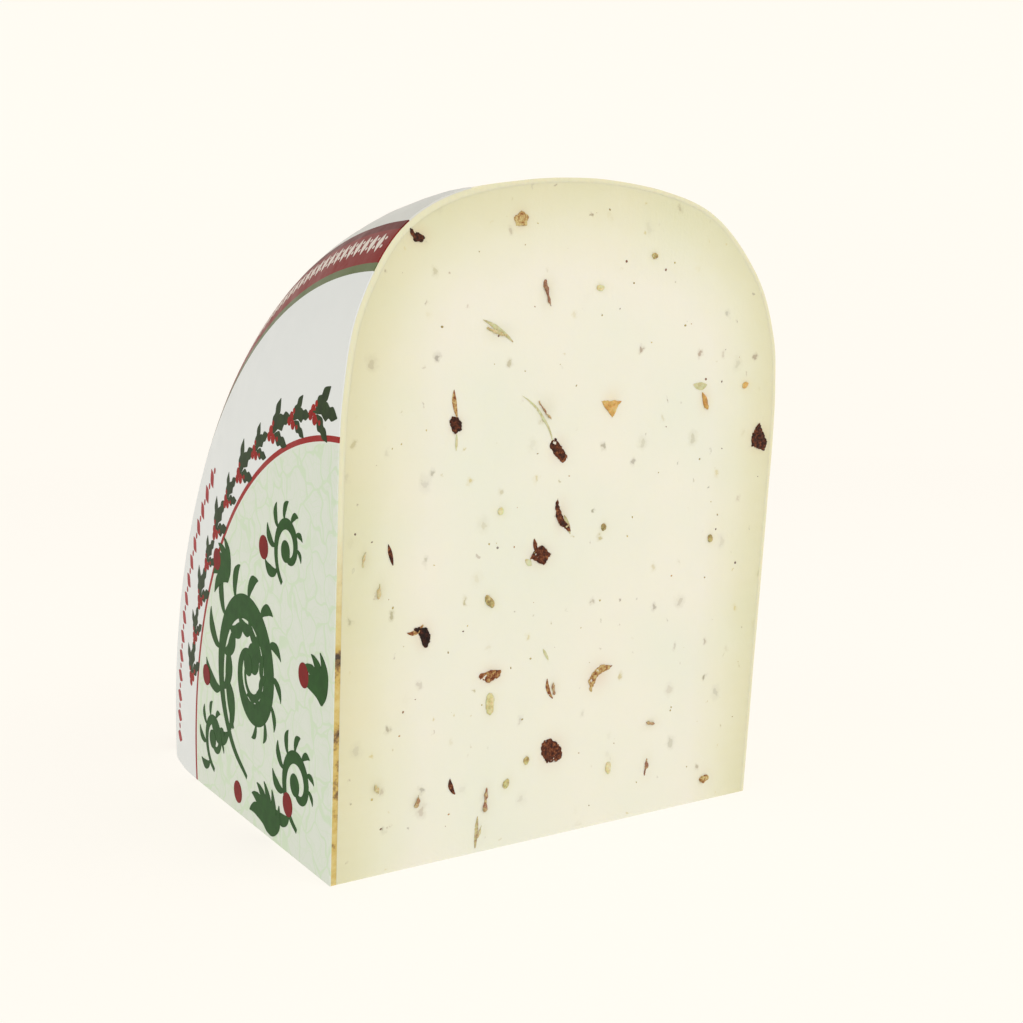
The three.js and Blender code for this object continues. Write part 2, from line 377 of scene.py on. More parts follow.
def set_ramp(node, stops, interpolation="LINEAR"):
    """Sets a colour ramp's stops, as places from 0 to 1 and sRGB hex colours."""
    ramp = node.color_ramp
    ramp.interpolation = interpolation
    while len(ramp.elements) < len(stops):
        ramp.elements.new(0.5)
    for element, (place, colour) in zip(ramp.elements, stops):
        element.position = place
        element.color = linear(colour)
    return node.outputs["Color"]


# Ripe semi-hard cheese, cut: moist and a little waxy, so it has a broad soft gloss. Fat and
# protein scatter light under the cut, which softens it. Its tone drifts in clouds of about 14 mm
# and patches of about 26 mm.
paste_matter, tree, shader = new_material(
    "cut_semi_hard_cheese",
    Roughness=0.5,
    IOR=1.45,
    Specular_IOR_Level=0.4,
    Subsurface_Weight=0.4,
    Subsurface_Radius=(0.9, 0.85, 0.6),
    Subsurface_Scale=0.0009,
)
# How many mm from the rind the paste is yellower, and how far the clouds shift that border.
RIND_FADE, WANDER = 22.0, 5.0
place = add_node(tree, "ShaderNodeTexCoord").outputs["Object"]
cloudy = add_node(tree, "ShaderNodeTexNoise", {
    "Vector": place, "Scale": 70.0, "Detail": 3.0, "Roughness": 0.6}).outputs["Fac"]
depth = add_node(tree, "ShaderNodeAttribute", attribute_name="rind_depth").outputs["Fac"]
wandering = add_node(tree, "ShaderNodeMath", {
    0: cloudy, 1: WANDER, 2: depth}, operation="MULTIPLY_ADD").outputs[0]
depth_share = add_node(tree, "ShaderNodeMapRange", {
    "Value": wandering, "From Min": WANDER / 2, "From Max": RIND_FADE + WANDER / 2})
base = set_ramp(
    add_node(tree, "ShaderNodeValToRGB", {"Fac": depth_share.outputs[0]}),
    [(0.0, "DFDABE"), (0.2, "E4E0C9"), (0.42, "E9E6D6"), (0.75, "EDEAE2"), (1.0, "EDEBE3")])
patches = add_node(tree, "ShaderNodeTexNoise", {
    "Vector": place, "Scale": 38.0, "Detail": 2.0}).outputs["Fac"]
tint = set_ramp(
    add_node(tree, "ShaderNodeValToRGB", {"Fac": patches}), [(0.35, "EDF3E6"), (0.65, "F5F5EA")])
mottled = add_node(
    tree, "ShaderNodeMix", {"Factor": 0.6, "A": base, "B": tint},
    data_type="RGBA", blend_type="MULTIPLY").outputs["Result"]
# Herb pieces that lie under the cut show through the paste as soft blurs, each round a darker
# core: how far apart they lie, core and blur radius, all in mm, the share of places that hold one,
# and the strongest one's strength.
MARKS = [
    (7.5, 0.28, 1.0, 0.36, 0.7), (12.0, 0.45, 1.9, 0.4, 0.4), (4.2, 0.12, 0.42, 0.22, 0.7),
]
cut_place = add_node(tree, "ShaderNodeAttribute", attribute_name="cut_place").outputs["Vector"]
warped = add_node(tree, "ShaderNodeTexNoise", {
    "Vector": cut_place, "Scale": 0.7, "Detail": 3.0}).outputs["Color"]
shifted = add_node(tree, "ShaderNodeVectorMath", {
    0: warped, 1: (2.4, 2.4, 0.0), 2: cut_place}, operation="MULTIPLY_ADD").outputs[0]
coloured = mottled
for apart, core, blur_reach, share_held, strength in MARKS:
    squashed = add_node(tree, "ShaderNodeMapping", {
        "Vector": shifted, "Scale": (1.0, 0.75, 1.0), "Location": (apart, 0.0, 0.0)}).outputs[0]
    buried = add_node(tree, "ShaderNodeTexVoronoi", {
        "Vector": squashed, "Scale": 1 / apart}, voronoi_dimensions="2D")
    draws = add_node(tree, "ShaderNodeSeparateColor", {"Color": buried.outputs["Color"]})
    held = add_node(tree, "ShaderNodeMapRange", {
        "Value": draws.outputs["Red"], "From Min": 1 - share_held, "From Max": 1.0,
        "To Max": strength}).outputs[0]
    dark = add_node(tree, "ShaderNodeMapRange", {
        "Value": buried.outputs["Distance"], "From Min": core / apart,
        "From Max": 1.6 * core / apart, "To Min": 1.0, "To Max": 0.35},
        interpolation_type="SMOOTHSTEP").outputs[0]
    soft = add_node(tree, "ShaderNodeMapRange", {
        "Value": buried.outputs["Distance"], "From Min": core / apart,
        "From Max": blur_reach / apart, "To Min": 1.0, "To Max": 0.0},
        interpolation_type="SMOOTHERSTEP").outputs[0]
    shape = add_node(tree, "ShaderNodeMath", {0: dark, 1: soft}, operation="MULTIPLY").outputs[0]
    mark = add_node(tree, "ShaderNodeMath", {0: shape, 1: held}, operation="MULTIPLY").outputs[0]
    hue = set_ramp(
        add_node(tree, "ShaderNodeValToRGB", {"Fac": draws.outputs["Green"]}),
        [(0.0, "8E8862"), (0.3, "C2B068"), (0.45, "CDBE7C"), (0.6, "8E8A80"), (0.8, "98765A"),
         (1.0, "8A8468")])
    coloured = add_node(
        tree, "ShaderNodeMix", {"Factor": mark, "A": coloured, "B": hue},
        data_type="RGBA").outputs["Result"]
STAIN_STRENGTH = 0.2
stain_tone = add_node(tree, "ShaderNodeAttribute", attribute_name="herb_stain")
stain_share = add_node(tree, "ShaderNodeMath", {
    0: stain_tone.outputs["Alpha"], 1: STAIN_STRENGTH}, operation="MULTIPLY").outputs[0]
coloured = add_node(
    tree, "ShaderNodeMix", {
        "Factor": stain_share, "A": coloured, "B": stain_tone.outputs["Color"]},
    data_type="RGBA").outputs["Result"]
tree.links.new(coloured, shader.inputs["Base Color"])
# The knife drags fine marks along its stroke, about 1 mm apart and 17 mm long, with pores of about
# 0.6 mm between them.
drag_place = add_node(tree, "ShaderNodeMapping", {"Vector": place, "Scale": (900.0, 60.0, 60.0)})
drag = add_node(tree, "ShaderNodeTexNoise", {
    "Vector": drag_place.outputs[0], "Scale": 1.0, "Detail": 4.0}).outputs["Fac"]
pores = add_node(tree, "ShaderNodeTexNoise", {
    "Vector": place, "Scale": 1600.0, "Detail": 3.0, "Roughness": 0.65}).outputs["Fac"]
relief = add_node(tree, "ShaderNodeMath", {0: pores, 1: 1.4, 2: drag}, operation="MULTIPLY_ADD")
bump = add_node(tree, "ShaderNodeBump", {
    "Strength": 0.25, "Distance": 0.00012, "Height": relief.outputs[0]}).outputs[0]
tree.links.new(bump, shader.inputs["Normal"])
gloss = add_node(tree, "ShaderNodeMapRange", {
    "Value": patches, "From Min": 0.3, "From Max": 0.7, "To Min": 0.42, "To Max": 0.58}).outputs[0]
tree.links.new(gloss, shader.inputs["Roughness"])

paste = new_piece(
    "cut_paste",
    np.vstack([upright, standing, rim]),
    [*grid_faces(ROWS, COLUMNS), *grid_faces(ROWS, COLUMNS, len(upright)),
     *grid_faces(TURNS, len(outline), 2 * len(upright))],
    paste_matter,
)
x, r, turn = wheel_place(paste.data)
rind_depth = np.min([np.hypot(x - skin_x, r - skin_r) for skin_x, skin_r in skin], axis=0)
add_attribute(paste.data, "rind_depth", "FLOAT", rind_depth)
at_upright = (turn > WEDGE_ANGLE - SLACK)[:, None]
own_stain = np.where(at_upright, stain[grid_index(x - SLACK, r)], 0)
add_attribute(paste.data, "herb_stain", "FLOAT_COLOR", own_stain)
# The buried marks' own flat coordinates in mm, in which the two cuts lie apart.
CUTS_APART = 60
add_attribute(
    paste.data, "cut_place", "FLOAT_VECTOR", np.stack([x + CUTS_APART * turn, r, 0 * r], 1))
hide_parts("cheese_paste")
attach(paste, "root")

# The coating: a breathing plastic that is brushed on the wheel in several coats and cracks a
# little where it is cut. The mould's cloth left its weave in the rind under it.
COATING_TURNS = 97
# Under the label the coating stands higher by this many mm, up to the film. It ends between these
# two distances along the axis, past the film's edge.
COATING_RISE, RISE_ENDS = 0.28, (26.0, 32.0)
# The brushed coats' unevenness and its patches in mm, and how many mm it takes to fade in: past the
# label, and out from the axis.
UNEVEN, UNEVEN_PATCH, LABEL_FADE, AXIS_FADE = 0.1, 9, 8, 20


def shell(outer, inner, turns, lift):
    """A closed shell between an outer and an inner profile, swept from cut to cut. The outer
    side stands lift mm higher at each point."""
    columns = len(outer[0])
    top = on_wheel(
        outer[0][:, 0] + lift * outer[1][:, 0], outer[0][:, 1] + lift * outer[1][:, 1],
        turns[:, None])
    bottom = on_wheel(inner[0][:, 0], inner[0][:, 1], turns[:, None])
    count = len(turns) * columns
    faces = [*grid_faces(len(turns), columns), *grid_faces(len(turns), columns, count)]
    for end in (0, (len(turns) - 1) * columns):
        faces += [
            (end + j, end + j + 1, count + end + j + 1, count + end + j) for j in range(columns - 1)
        ]
    for j in (0, columns - 1):
        faces += [
            (i * columns + j, (i + 1) * columns + j,
             count + (i + 1) * columns + j, count + i * columns + j)
            for i in range(len(turns) - 1)
        ]
    points = np.vstack([top.reshape(-1, 3), bottom.reshape(-1, 3)])
    return points, faces


outer, outward = profile(0.0)
inner = profile(-COATING_WALL)
coat_turns = np.linspace(0, WEDGE_ANGLE, COATING_TURNS)
past_label = outer[:, 0] - RISE_ENDS[0]
rise = COATING_RISE * (1 - np.clip(past_label / (RISE_ENDS[1] - RISE_ENDS[0]), 0, 1))
free = np.clip(past_label / LABEL_FADE, 0, 1) * np.clip(outer[:, 1] / AXIS_FADE, 0, 1)
uneven = np.array([[
    noise.noise(Vector((
        px / UNEVEN_PATCH, pr * math.cos(a) / UNEVEN_PATCH, pr * math.sin(a) / UNEVEN_PATCH)))
    for px, pr in outer] for a in coat_turns]) * free * UNEVEN
# On the plain face the unevenness only sinks, so that the wheel keeps its thickness.
plain_face = outer[:, 0] > SECTION[-1][0] - SLACK
uneven[:, plain_face] = -np.abs(uneven[:, plain_face])
points, faces = shell((outer, outward), inner, coat_turns, rise + uneven)

# Brushed cheese coating, PVA based: a satin, slightly milky skin with faint brush marks. Where the
# knife cut it, its edge is cream, and on the label's side it is stained ochre and brown low down.
coating_matter, tree, shader = new_material(
    "brushed_cheese_coating",
    Roughness=0.36,
    IOR=1.47,
    Coat_Weight=0.25,
    Coat_Roughness=0.2,
    Subsurface_Weight=0.25,
    Subsurface_Radius=(1.0, 0.7, 0.35),
    Subsurface_Scale=0.0015,
)
place = add_node(tree, "ShaderNodeTexCoord").outputs["Object"]
streaks_place = add_node(tree, "ShaderNodeMapping", {"Vector": place, "Scale": (25.0, 90.0, 90.0)})
streaks = add_node(tree, "ShaderNodeTexNoise", {
    "Vector": streaks_place.outputs[0], "Scale": 1.0, "Detail": 4.0,
    "Distortion": 0.6}).outputs["Fac"]
coat_colour = set_ramp(
    add_node(tree, "ShaderNodeValToRGB", {"Fac": streaks}),
    [(0.25, "E2D79C"), (0.5, "E9E0B2"), (0.75, "EFE9C6")])
# The stain sets in between these two heights above the floor, and these two places along x, in m.
STAIN_HEIGHTS, STAIN_SIDES = (0.066, 0.046), (-0.02, -0.035)
along = add_node(tree, "ShaderNodeSeparateXYZ", {"Vector": place})
low_side = add_node(tree, "ShaderNodeMapRange", {
    "Value": along.outputs["Z"], "From Min": STAIN_HEIGHTS[0],
    "From Max": STAIN_HEIGHTS[1]}).outputs[0]
label_side = add_node(tree, "ShaderNodeMapRange", {
    "Value": along.outputs["X"], "From Min": STAIN_SIDES[0],
    "From Max": STAIN_SIDES[1]}).outputs[0]
stained = add_node(tree, "ShaderNodeMath", {0: low_side, 1: label_side}, operation="MULTIPLY")
edge_noise = add_node(tree, "ShaderNodeTexNoise", {
    "Vector": place, "Scale": 120.0, "Detail": 5.0, "Roughness": 0.7}).outputs["Fac"]
edge_pale = add_node(
    tree, "ShaderNodeMix", {"Factor": label_side, "A": linear("DCD8B9"), "B": linear("E1DDBD")},
    data_type="RGBA").outputs["Result"]
edge_low = set_ramp(
    add_node(tree, "ShaderNodeValToRGB", {"Fac": edge_noise}),
    [(0.36, "3B2A18"), (0.42, "8A6A38"), (0.48, "C9AC5C"), (0.6, "D6C382"), (0.7, "CDB66E")])
edge_colour = add_node(
    tree, "ShaderNodeMix", {"Factor": stained.outputs[0], "A": edge_pale, "B": edge_low},
    data_type="RGBA").outputs["Result"]
is_cut = add_node(tree, "ShaderNodeAttribute", attribute_name="cut_edge").outputs["Fac"]
colour = add_node(
    tree, "ShaderNodeMix", {"Factor": is_cut, "A": coat_colour, "B": edge_colour},
    data_type="RGBA").outputs["Result"]
tree.links.new(colour, shader.inputs["Base Color"])
# Cheesecloth of about eight threads to the centimetre, faint under the coats. A wave texture has
# one band in 2 pi / 20 at scale 1.
THREAD_PITCH = 1.25 * MM
weave_scale = 2 * math.pi / THREAD_PITCH / 20
weave_place = add_node(tree, "ShaderNodeVectorMath", {
    0: add_node(tree, "ShaderNodeTexNoise", {"Vector": place, "Scale": 90.0}).outputs["Color"],
    1: (0.002, 0.002, 0.002), 2: place}, operation="MULTIPLY_ADD").outputs[0]
warp = add_node(tree, "ShaderNodeTexWave", {
    "Vector": weave_place, "Scale": weave_scale}, bands_direction="X").outputs["Fac"]
weft = add_node(tree, "ShaderNodeTexWave", {
    "Vector": weave_place, "Scale": weave_scale}, bands_direction="DIAGONAL").outputs["Fac"]
weave = add_node(tree, "ShaderNodeMath", {0: warp, 1: weft}, operation="ADD").outputs[0]
brushed = add_node(tree, "ShaderNodeMath", {0: streaks, 1: 3.0, 2: weave}, operation="MULTIPLY_ADD")
bump = add_node(tree, "ShaderNodeBump", {
    "Strength": 0.2, "Distance": 0.00015, "Height": brushed.outputs[0]}).outputs[0]
tree.links.new(bump, shader.inputs["Normal"])

coating = new_piece("brushed_coating", points, faces, coating_matter)
# A face of the coating lies in a cut where its turn is this close to the cut's, in radians.
AT_CUT = 1e-4
centres = triples(coating.data.polygons, "center") - (face_x, axis_y, floor_z)
face_turn = np.arctan2(centres[:, 2], centres[:, 1])
at_cut = (face_turn < AT_CUT) | (face_turn > WEDGE_ANGLE - AT_CUT)
add_attribute(coating.data, "cut_edge", "FLOAT", at_cut, "FACE")
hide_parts("wheel_coating")
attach(coating, "root")

# The label: a thin printed film, shrunk over one face of the wheel and its shoulder. The print
# has a red ring round a pale vine ground, and a red band near the film's edge, which is creased.

# How far along the axis the film reaches over the shoulder, and its wall, in mm.
LABEL_REACH, FILM_WALL, FILM_TURNS = 24.0, 0.22, 193
# The print's circles, in mm along the film from the print's centre, which is a little off the
# wheel's axis. PRINT_SPAN only has to be more than any of them.
PRINT_CENTRE = np.array([-2.0, 2.0, 0.0])
RING_AT, RING_WIDE = 78.3, 1.05
BAND_FROM, BAND_TO, BAND_EDGE, TOP_STRIPE = 109.0, 118.4, 1.3, 2.2
PRINT_SPAN = 140.0
# The film's edge is creased from the band outwards: the creases' height in mm, how many mm they
# take to set in, and for the broad and the fine ones their length in mm and number a radian.
CREASE, CREASE_SETS_IN = 0.12, 4
BROAD_CREASES, FINE_CREASES = (5, 9), (2, 30)

top = profile(LABEL_STANDS)
steps = np.linalg.norm(np.diff(top[0], axis=0), axis=1)
film_arc = np.concatenate([[0], np.cumsum(steps)])
under = profile(LABEL_STANDS - FILM_WALL)
reaches = top[0][:, 0] <= LABEL_REACH
reaches &= np.arange(len(reaches)) < np.argmax(top[0][:, 1])
film_outer = (top[0][reaches], top[1][reaches])
film_inner = (under[0][reaches], under[1][reaches])
film_turns = np.linspace(0, WEDGE_ANGLE, FILM_TURNS)
loose = np.clip((film_arc[reaches] - BAND_TO) / CREASE_SETS_IN, 0, 1)
crease = np.array([[
    abs(noise.noise(Vector((out / BROAD_CREASES[0], a * BROAD_CREASES[1], 2.0))))
    + 0.5 * noise.noise(Vector((out / FINE_CREASES[0], a * FINE_CREASES[1], 7.0)))
    for out in film_arc[reaches]] for a in film_turns]) * loose * CREASE
points, faces = shell(film_outer, film_inner, film_turns, crease)

# Matt polypropylene film, reverse printed: a soft even gloss, and inks that sit under it flush.
film_matter, tree, shader = new_material(
    "printed_polypropylene_film",
    Roughness=0.4,
    IOR=1.49,
    Specular_IOR_Level=0.12,
)
print_place = add_node(tree, "ShaderNodeAttribute", attribute_name="print_place").outputs["Vector"]
from_axis = add_node(
    tree, "ShaderNodeVectorMath", {0: print_place}, operation="LENGTH").outputs["Value"]
span_share = add_node(
    tree, "ShaderNodeMath", {0: from_axis, 1: PRINT_SPAN}, operation="DIVIDE").outputs[0]
ground = set_ramp(add_node(tree, "ShaderNodeValToRGB", {"Fac": span_share}), [
    (0.0, "D4DBD1"),
    ((RING_AT - RING_WIDE / 2) / PRINT_SPAN, "920A06"),
    ((RING_AT + RING_WIDE / 2) / PRINT_SPAN, "DCE0E1"),
    ((BAND_FROM - BAND_EDGE) / PRINT_SPAN, "5F6B45"),
    (BAND_FROM / PRINT_SPAN, "7C100A"),
    ((BAND_TO - TOP_STRIPE) / PRINT_SPAN, "600E0C"),
    (BAND_TO / PRINT_SPAN, "D2D3CF"),
], "CONSTANT")
# The ground's pale vines are a line print, in cells of about 6 mm with veins of about 3 mm.
bent = add_node(tree, "ShaderNodeTexNoise", {
    "Vector": print_place, "Scale": 0.16, "Detail": 1.0}).outputs["Color"]
vine_place = add_node(tree, "ShaderNodeVectorMath", {
    0: bent, 1: (9.0, 9.0, 0.0), 2: print_place}, operation="MULTIPLY_ADD").outputs[0]
cells = add_node(tree, "ShaderNodeTexVoronoi", {
    "Vector": vine_place, "Scale": 0.16}, feature="DISTANCE_TO_EDGE").outputs["Distance"]
veins = add_node(tree, "ShaderNodeTexVoronoi", {
    "Vector": vine_place, "Scale": 0.34}, feature="DISTANCE_TO_EDGE").outputs["Distance"]
vine_line = add_node(tree, "ShaderNodeMapRange", {
    "Value": cells, "From Min": 0.03, "From Max": 0.06, "To Min": 1.0, "To Max": 0.0}).outputs[0]
vein_line = add_node(tree, "ShaderNodeMapRange", {
    "Value": veins, "From Min": 0.03, "From Max": 0.07, "To Min": 0.35, "To Max": 0.0}).outputs[0]
line = add_node(tree, "ShaderNodeMath", {0: vine_line, 1: vein_line}, operation="MAXIMUM")
inside_ring = add_node(tree, "ShaderNodeMath", {
    0: from_axis, 1: RING_AT - RING_WIDE / 2}, operation="LESS_THAN").outputs[0]
vines = add_node(tree, "ShaderNodeMath", {
    0: line.outputs[0], 1: inside_ring}, operation="MULTIPLY").outputs[0]
printed = add_node(
    tree, "ShaderNodeMix", {"Factor": vines, "A": ground, "B": linear("C9D9C1")},
    data_type="RGBA").outputs["Result"]
tree.links.new(printed, shader.inputs["Base Color"])
rub_place = add_node(tree, "ShaderNodeTexCoord").outputs["Object"]
rub = add_node(tree, "ShaderNodeTexNoise", {
    "Vector": rub_place, "Scale": 180.0, "Detail": 5.0, "Roughness": 0.6}).outputs["Fac"]
film_rough = add_node(tree, "ShaderNodeMapRange", {
    "Value": rub, "From Min": 0.3, "From Max": 0.7, "To Min": 0.3, "To Max": 0.5}).outputs[0]
tree.links.new(film_rough, shader.inputs["Roughness"])
film_bump = add_node(tree, "ShaderNodeBump", {
    "Strength": 0.15, "Distance": 0.0002, "Height": rub}).outputs[0]
tree.links.new(film_bump, shader.inputs["Normal"])

film = new_piece("printed_film", points, faces, film_matter)
x, r, turn = wheel_place(film.data)
nearest = [
    np.argmin((film_outer[0][:, 0] - px) ** 2 + (film_outer[0][:, 1] - pr) ** 2)
    for px, pr in zip(x, r)
]
run_out = film_arc[reaches][nearest]
add_attribute(film.data, "print_place", "FLOAT_VECTOR", np.stack([
    run_out * np.cos(turn), run_out * np.sin(turn), 0 * turn], 1) - PRINT_CENTRE)
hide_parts("printed_label")
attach(film, "root")

# The printed scroll and its berries: inks laid on the film. Each stroke is a strip a few hundredths
# of a millimetre thick that follows the film, drawn on the flat: mm back from the axis, mm up from
# the standing cut, and the stroke's width.
INK_SINK, INK_RISE, INK_STEP = -0.03, 0.03, 0.0008
STROKE_STEPS, HAIRLINE, DISC_ROWS = 5, 0.05, 9
# The vines' width at their start in mm, and how far their leaves lean over in degrees and bend, as
# a share of their length.
SLIM, LEAF_SWEEP, LEAF_BEND = 1.1, 50, 0.22
# The rows that a vine is drawn with, and the share of its length between which its leaves sit.
VINE_ROWS, LEAVES_FROM, LEAVES_TO = 26, 0.06, 0.6
# The large scroll's middle and radius, and the ring of berries round it, in mm and degrees.
MAIN_Y, MAIN_Z, MAIN_OUT = 38.0, 32.0, 23.0
BERRY_OUT, BERRY_RADIUS, BERRY_START, BERRY_STEP = 29.0, 2.4, 50, 60


def stroke(rows, layer):
    """One closed strip along a smooth curve through rows of y, z and width, in print mm with its
    height as the third coordinate: its points and its faces."""
    rows = np.array(rows, float)
    knots = np.vstack([2 * rows[0] - rows[1], rows, 2 * rows[-1] - rows[-2]])
    line = smooth_through(knots, STROKE_STEPS)
    along = np.gradient(line[:, :2], axis=0)
    along /= np.linalg.norm(along, axis=1)[:, None]
    half = np.stack([-along[:, 1], along[:, 0]], 1) * np.maximum(line[:, 2:], HAIRLINE) / 2
    points, faces = [], []
    for place, aside in zip(line[:, :2], half):
        for x, y in (place + aside, place - aside):
            points += [(x, y, INK_RISE + INK_STEP * layer), (x, y, INK_SINK)]
    for i in range(0, 4 * len(line) - 4, 4):
        faces += [(i, i + 2, i + 6, i + 4), (i + 1, i + 5, i + 7, i + 3),
                  (i, i + 4, i + 5, i + 1), (i + 2, i + 3, i + 7, i + 6)]
    end = 4 * len(line) - 4
    faces += [(0, 1, 3, 2), (end, end + 2, end + 3, end + 1)]
    return points, faces


def disc(y, z, radius):
    """The rows of a round spot."""
    return [
        (y + radius * math.sin(a), z, max(2 * radius * math.cos(a), HAIRLINE))
        for a in np.linspace(-math.pi / 2, math.pi / 2, DISC_ROWS)
    ]


def joined(parts):
    """Several strips' points and faces as one mesh's."""
    points, faces = [], []
    for part_points, part_faces in parts:
        faces += [[len(points) + i for i in face] for face in part_faces]
        points += part_points
    return points, faces


def on_label(points):
    """Print coordinates wrapped on the film, as points in the row frame."""
    y, z, lift = np.array(points, float).T
    run_out = np.hypot(y, z)
    half = np.argmax(top[0][:, 1])
    x, r, nx, nr = (
        np.interp(run_out, film_arc[:half], column[:half])
        for column in (top[0][:, 0], top[0][:, 1], top[1][:, 0], top[1][:, 1]))
    return on_wheel(x + nx * lift, r + nr * lift, np.arctan2(z, y))


def ink_matter(name, colour, second):
    """Printing ink on film: a thin coat that is a little uneven from one 2.5 mm patch to the next,
    with the film's own gloss."""
    matter, tree, shader = new_material(
        name + "_ink", Roughness=0.42, IOR=1.5, Specular_IOR_Level=0.06)
    place = add_node(tree, "ShaderNodeTexCoord").outputs["Object"]
    cloud = add_node(tree, "ShaderNodeTexNoise", {
        "Vector": place, "Scale": 400.0, "Detail": 4.0, "Roughness": 0.7}).outputs["Fac"]
    tone = set_ramp(
        add_node(tree, "ShaderNodeValToRGB", {"Fac": cloud}), [(0.35, colour), (0.7, second)])
    tree.links.new(tone, shader.inputs["Base Color"])
    return matter


def laid_on_label(piece):
    """Finishes a printed piece: it is shaded flat and rides on the root body."""
    piece.data.shade_flat()
    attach(piece, "root")


def leaf(y, z, heading, length, width, bend):
    """The rows of a comma-shaped stroke from its root, headed so many degrees round from +y. Its
    middle stands aside by bend, a share of its length."""
    ahead = np.array([math.cos(math.radians(heading)), math.sin(math.radians(heading))])
    aside = np.array([-ahead[1], ahead[0]])
    t = np.array([0, 0.25, 0.6, 0.85, 1])[:, None]
    line = (y, z) + length * (t * ahead + 4 * bend * t * (1 - t) * aside)
    return np.hstack([line, width * np.array([[0.2, 0.75, 1.0, 0.55, 0.08]]).T])


def vine(y, z, outer, inner, start, sweep, widest, leaves, leaf_long, leaf_wide, edges=(1,)):
    """A scroll that winds in round a centre and swells on its way, with leaves set evenly along
    its outer edge (1) or its inner edge (-1) as well. Angles are in degrees."""
    t = np.linspace(0, 1, VINE_ROWS)
    radius = outer * (inner / outer) ** t
    turn = start + sweep * t
    width = SLIM + (widest - SLIM) * np.sin(np.pi * t ** 0.75) ** 1.4
    line = np.stack([
        y + radius * np.cos(np.radians(turn)), z + radius * np.sin(np.radians(turn)), width], 1)
    strokes = [line, disc(line[-1, 0], line[-1, 1], 1.6 * inner ** 0.5)]
    for edge, at in itertools.product(edges, np.linspace(LEAVES_FROM, LEAVES_TO, leaves)):
        here_turn, here_wide = np.interp(at, t, turn), np.interp(at, t, width)
        here_out = np.interp(at, t, radius) + edge * 0.3 * here_wide
        size = np.interp(at, t, radius) / outer
        strokes.append(leaf(
            y + here_out * math.cos(math.radians(here_turn)),
            z + here_out * math.sin(math.radians(here_turn)),
            here_turn + (0 if edge > 0 else 180) + edge * math.copysign(LEAF_SWEEP, sweep),
            leaf_long * size, leaf_wide * size, -edge * math.copysign(LEAF_BEND, sweep)))
    return strokes


# A large scroll and a thin one inside it, three small ones round them, and three fans of leaves.
# A vine has its middle, its outer and inner radius, where it starts and how far it sweeps in
# degrees, its widest, and its leaves: how many, how long and how wide.
SCROLL = [
    *vine(MAIN_Y, MAIN_Z, MAIN_OUT, 4.2, -80, 560, 5.6, 12, 13.0, 4.4, (1, -1)),
    *vine(MAIN_Y, MAIN_Z, MAIN_OUT - 5.0, 2.2, -50, 470, 1.4, 0, 0, 0),
    *vine(13.5, 15.0, 9.5, 2.0, -80, 430, 2.6, 8, 8.0, 3.0),
    *vine(62.0, 13.0, 7.5, 1.8, -80, 430, 2.2, 7, 6.5, 2.4),
    *vine(15.0, 60.0, 8.0, 1.8, -60, 400, 2.2, 7, 7.0, 2.6),
    *[leaf(31.0, 1.2, heading, 10.0, 2.9, 0.2) for heading in (10, 35, 60, 85, 110, 135)],
    *[leaf(50.0, 50.0, heading, 9.5, 2.7, 0.2) for heading in (-20, 5, 30, 55, 80)],
    *[leaf(1.5, 33.0, heading, 9.5, 2.8, 0.2) for heading in (15, 40, 65, 90)],
]
BERRIES = [
    disc(MAIN_Y + BERRY_OUT * math.cos(a), MAIN_Z + BERRY_OUT * math.sin(a), BERRY_RADIUS)
    for a in np.radians(range(BERRY_START, BERRY_START + 360, BERRY_STEP))
]
# Each stroke of the scroll lies a hair above the last one, and the berries lie above them all.
points, faces = joined([stroke(rows, layer) for layer, rows in enumerate(SCROLL)])
laid_on_label(new_piece(
    "scroll_print", on_label(points), faces, ink_matter("scroll_print", "1B4410", "245218")))
points, faces = joined([stroke(rows, len(SCROLL) + 2) for rows in BERRIES])
laid_on_label(new_piece(
    "berry_print", on_label(points), faces, ink_matter("berry_print", "6E0202", "800804")))

# The printed wreath, its berries, the red marks outside it and the pale lozenges in the band: each
# is one small motif in ink on the film, printed again and again along an arc round the print's
# centre.


def named_input(tree, name, kind, value=None):
    """Adds an input to a node tree and returns the identifier that a modifier sets it by."""
    socket = tree.interface.new_socket(name=name, in_out="INPUT", socket_type=kind)
    if value is not None:
        socket.default_value = value
    return socket.identifier


def plain_mesh(holder, material):
    """The plain mesh in one material that an object's modifier makes. The object goes."""
    graph = bpy.context.evaluated_depsgraph_get()
    made = bpy.data.meshes.new_from_object(holder.evaluated_get(graph))
    holder.modifiers.clear()
    bpy.data.objects.remove(holder)
    made.materials.clear()
    made.materials.append(material)
    return made


def evaluated(name, mesh, tree, values, material):
    """The plain mesh that a Geometry Nodes tree makes from a mesh."""
    holder = new_object(name + "_holder", mesh)
    modifier = holder.modifiers.new(name, "NODES")
    modifier.node_group = tree
    for identifier, value in values.items():
        modifier[identifier] = value
    return plain_mesh(holder, material)


